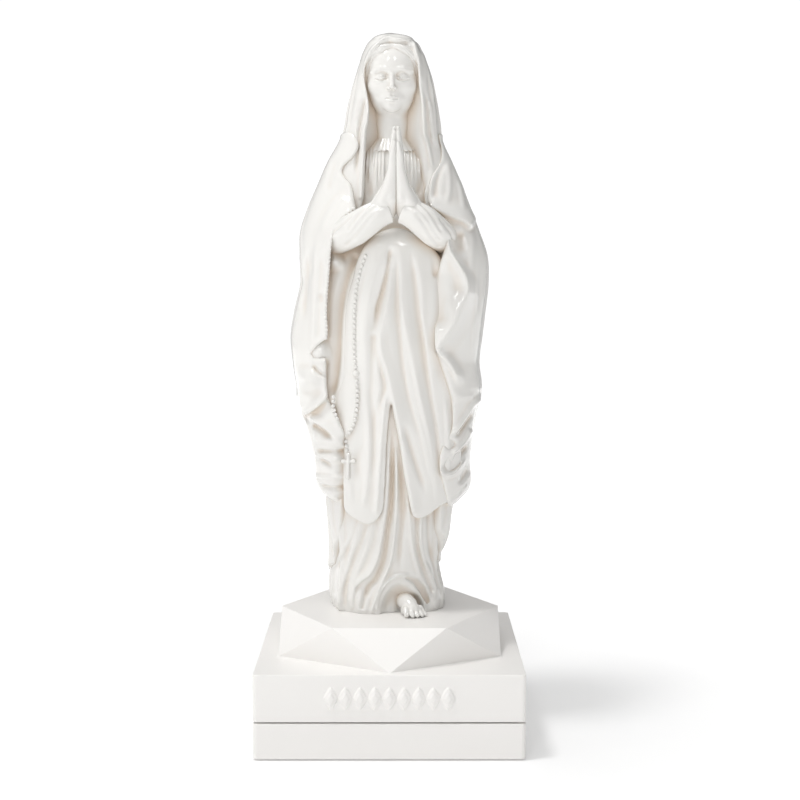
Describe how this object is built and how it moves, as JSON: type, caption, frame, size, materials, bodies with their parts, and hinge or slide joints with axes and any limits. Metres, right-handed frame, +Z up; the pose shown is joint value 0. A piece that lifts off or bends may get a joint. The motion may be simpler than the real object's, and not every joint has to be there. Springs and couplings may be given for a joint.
{
  "type": "madonna statue",
  "caption": "Glazed white ceramic Madonna with praying hands on a faceted plinth; its square two-part base opens as an incense chamber with a lift-out dish.",
  "frame": {"origin": "on the table, under the middle of the square base, in the plane of the felt pads' undersides", "axes": "+Z up; the figure faces -Y; +X is on the right of someone looking at its face"},
  "size_m": [0.112, 0.1139, 0.3],
  "materials": {
    "white_glaze": "clear gloss glaze over a warm white body",
    "satin_ceramic": "satin white glaze",
    "brass": "spun brass",
    "felt": "self-adhesive felt"
  },
  "bodies": {
    "tray": {"base_tray": "satin_ceramic", "foot_pad_front_left": "felt", "foot_pad_front_right": "felt", "foot_pad_back_left": "felt", "foot_pad_back_right": "felt"},
    "dish": {"incense_dish": "brass"},
    "lid": {"lid_slab": "satin_ceramic", "front_frieze": "satin_ceramic", "faceted_plinth": "satin_ceramic", "gown_skirt": "white_glaze", "gown_bodice": "white_glaze", "over_skirt": "white_glaze", "mantle": "white_glaze", "mantle_train": "white_glaze", "mantle_trim": "white_glaze", "veil": "white_glaze", "head": "white_glaze", "collar": "white_glaze", "left_sleeve": "white_glaze", "right_sleeve": "white_glaze", "left_hand": "white_glaze", "right_hand": "white_glaze", "left_foot": "white_glaze", "right_foot": "white_glaze", "rosary_front_strand": "white_glaze", "rosary_lower_strand": "white_glaze", "rosary_pendant_strand": "white_glaze", "rosary_medal": "white_glaze", "rosary_cross": "white_glaze"}
  },
  "joints": [
    {"name": "lid_lift", "type": "slide", "parent": "tray", "child": "lid", "axis": [0, 0, 1], "range_m": [0, 0.06]},
    {"name": "dish_lift", "type": "slide", "parent": "tray", "child": "dish", "axis": [0, 0, 1], "range_m": [0, 0.014]}
  ]
}
